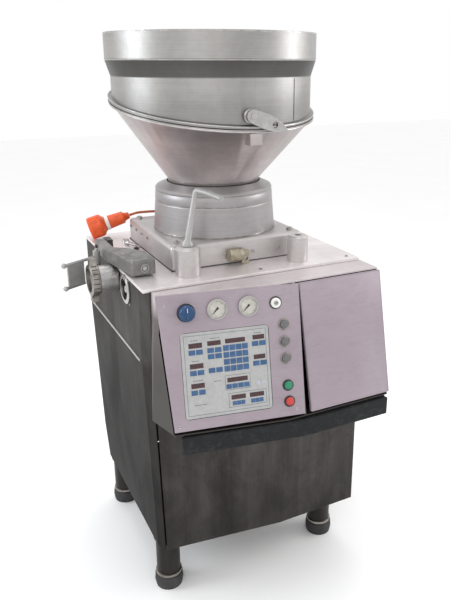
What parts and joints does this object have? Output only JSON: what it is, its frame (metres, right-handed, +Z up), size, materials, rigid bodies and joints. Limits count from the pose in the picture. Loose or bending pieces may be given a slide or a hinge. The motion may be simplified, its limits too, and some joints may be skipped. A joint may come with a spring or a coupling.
{
  "type": "vacuum sausage filler",
  "caption": "Floor-standing stainless vacuum filler with a tilting conical hopper, a vane pump, a side outlet for a linking drive and a sloping control console.",
  "frame": {"origin": "middle of the object's outline on the floor, without the free cord and plug", "axes": "+Z up, the operator stands at -Y, +X to the operator's right"},
  "size_m": [0.9088, 0.937, 1.8148],
  "materials": {
    "cabinet_steel": "dark brushed stainless sheet, stained",
    "satin_stainless": "satin stainless steel",
    "bright_stainless": "turned bright stainless steel",
    "lilac_panel": "lilac-grey powder coat",
    "keypad_film": "pale membrane film",
    "black_rubber": "matt black rubber",
    "dark_casting": "dark cast metal, oiled",
    "motor_paint": "painted housing",
    "brass_fitting": "dull brass",
    "needle_black": "black paint",
    "blue_plastic": "blue moulded plastic",
    "key_white": "white moulded plastic",
    "grey_button": "grey moulded plastic",
    "green_button": "green moulded plastic",
    "red_button": "red moulded plastic",
    "orange_cord": "orange rubber sheath, grubby",
    "orange_plug": "orange plug body"
  },
  "bodies": {
    "machine": {"base_plate": "cabinet_steel", "clamp_post": "satin_stainless", "console_housing": "satin_stainless", "control_panel": "lilac_panel", "cord_coil": "orange_cord", "cord_gland": "black_rubber", "cord_gland_run": "orange_cord", "cord_plug_run": "orange_cord", "deck_plate": "satin_stainless", "drive_motor": "motor_paint", "foot_front_left": "black_rubber", "foot_front_right": "black_rubber", "foot_rear_left": "black_rubber", "foot_rear_right": "black_rubber", "front_panel": "cabinet_steel", "guide_post": "satin_stainless", "hopper_hinge_pin": "bright_stainless", "hopper_neck": "satin_stainless", "hopper_seal": "black_rubber", "keypad": "keypad_film", "latch_barrel": "brass_fitting", "left_side_panel": "cabinet_steel", "leg_front_left": "cabinet_steel", "leg_front_right": "cabinet_steel", "leg_rear_left": "cabinet_steel", "leg_rear_right": "cabinet_steel", "linking_gear_pivot": "dark_casting", "lower_hopper": "satin_stainless", "mains_plug": "orange_plug", "outlet_pipe": "satin_stainless", "port_ring": "bright_stainless", "pressure_gauge": "bright_stainless", "pump_housing": "satin_stainless", "rear_panel": "cabinet_steel", "right_side_panel": "cabinet_steel", "vacuum_gauge": "bright_stainless", "vacuum_pump": "motor_paint"},
    "hopper_top": {"upper_hopper": "satin_stainless"},
    "hopper_clamp": {"clamp_handle": "bright_stainless"},
    "wing_lever": {"clamp_lever": "bright_stainless"},
    "bracket": {"swing_bracket": "bright_stainless"},
    "nut": {"union_nut": "dark_casting"},
    "spindle": {"drive_spindle": "bright_stainless"},
    "linking_gear": {"linking_gear_housing": "dark_casting"},
    "hook": {"hook_lever": "bright_stainless"},
    "latch": {"latch_tab": "brass_fitting"},
    "knee_switch": {"knee_bar": "black_rubber", "knee_pad": "black_rubber"},
    "electrics_cover": {"electrics_door": "lilac_panel"},
    "rotor": {"pump_rotor": "bright_stainless", "feed_auger": "bright_stainless"},
    "pressure_pointer": {"pressure_needle": "needle_black"},
    "vacuum_pointer": {"vacuum_needle": "needle_black"},
    "knob": {"selector_knob": "blue_plastic"},
    "key": {"key_switch": "key_white"},
    "grey_upper": {"grey_button_upper": "grey_button"},
    "grey_middle": {"grey_button_middle": "grey_button"},
    "grey_lower": {"grey_button_lower": "grey_button"},
    "start": {"start_button": "green_button"},
    "stop": {"stop_button": "red_button"}
  },
  "joints": [
    {"name": "hopper_tilt", "type": "hinge", "parent": "machine", "child": "hopper_top", "pos_m": [0.0824, 0.44, 1.65362], "axis": [-1, 0, 0], "range_deg": [0, 85]},
    {"name": "hopper_clamp_turn", "type": "hinge", "parent": "hopper_top", "child": "hopper_clamp", "pos_m": [0.0624, -0.2483, 1.583], "axis": [0, -1, 0], "range_deg": [0, 70]},
    {"name": "wing_lever_turn", "type": "hinge", "parent": "machine", "child": "wing_lever", "pos_m": [-0.1176, -0.172, 1.2063], "axis": [0, 0, 1], "range_deg": [-90, 90]},
    {"name": "bracket_swing", "type": "hinge", "parent": "machine", "child": "bracket", "pos_m": [-0.3296, 0.096, 1.13], "axis": [0, 0, 1], "range_deg": [-75, 0]},
    {"name": "nut_turn", "type": "hinge", "parent": "machine", "child": "nut", "pos_m": [-0.3756, 0.024, 1.077], "axis": [1, 0, 0], "range_deg": [0, 60]},
    {"name": "spindle_spin", "type": "hinge", "parent": "machine", "child": "spindle", "pos_m": [-0.2536, -0.076, 1.066], "axis": [-1, 0, 0], "continuous": true},
    {"name": "linking_gear_tip", "type": "hinge", "parent": "machine", "child": "linking_gear", "pos_m": [-0.2896, 0.166, 1.143], "axis": [-1, 0, 0], "range_deg": [0, 80]},
    {"name": "hook_turn", "type": "hinge", "parent": "machine", "child": "hook", "pos_m": [-0.1896, 0.246, 1.12], "axis": [0, 0, 1], "range_deg": [-8, 6]},
    {"name": "latch_turn", "type": "hinge", "parent": "machine", "child": "latch", "pos_m": [0.0729, -0.1473, 1.15], "axis": [-1, 0, 0], "range_deg": [0, 90]},
    {"name": "knee_press", "type": "slide", "parent": "machine", "child": "knee_switch", "axis": [0, 1, 0], "range_m": [0, 0.012], "stiffness_N_per_m": 400},
    {"name": "electrics_cover_open", "type": "hinge", "parent": "machine", "child": "electrics_cover", "pos_m": [0.4544, -0.366, 1.108], "axis": [0, 0.2181, 0.9759], "range_deg": [0, 110]},
    {"name": "rotor_spin", "type": "hinge", "parent": "machine", "child": "rotor", "pos_m": [0.0824, 0.088, 1.176], "axis": [0, 0, 1], "continuous": true},
    {"name": "pressure_pointer_turn", "type": "hinge", "parent": "machine", "child": "pressure_pointer", "pos_m": [-0.09522, -0.3347, 1.05498], "axis": [0.1766, 0.9598, -0.2181], "range_deg": [0, 270]},
    {"name": "vacuum_pointer_turn", "type": "hinge", "parent": "machine", "child": "vacuum_pointer", "pos_m": [-0.00376, -0.35153, 1.05498], "axis": [0.1766, 0.9598, -0.2181], "range_deg": [0, 270]},
    {"name": "knob_turn", "type": "hinge", "parent": "machine", "child": "knob", "pos_m": [-0.18329, -0.31597, 1.05237], "axis": [-0.1766, -0.9598, 0.2181], "range_deg": [-60, 60]},
    {"name": "key_turn", "type": "hinge", "parent": "machine", "child": "key", "pos_m": [0.07943, -0.36363, 1.0553], "axis": [0.1766, 0.9598, -0.2181], "range_deg": [0, 90]},
    {"name": "grey_upper_press", "type": "slide", "parent": "machine", "child": "grey_upper", "axis": [0.1766, 0.9598, -0.2181], "range_m": [0, 0.004], "stiffness_N_per_m": 200},
    {"name": "grey_middle_press", "type": "slide", "parent": "machine", "child": "grey_middle", "axis": [0.1766, 0.9598, -0.2181], "range_m": [0, 0.004], "stiffness_N_per_m": 200},
    {"name": "grey_lower_press", "type": "slide", "parent": "machine", "child": "grey_lower", "axis": [0.1766, 0.9598, -0.2181], "range_m": [0, 0.004], "stiffness_N_per_m": 200},
    {"name": "start_press", "type": "slide", "parent": "machine", "child": "start", "axis": [0.1766, 0.9598, -0.2181], "range_m": [0, 0.004], "stiffness_N_per_m": 200},
    {"name": "stop_press", "type": "slide", "parent": "machine", "child": "stop", "axis": [0.1766, 0.9598, -0.2181], "range_m": [0, 0.004], "stiffness_N_per_m": 200}
  ]
}
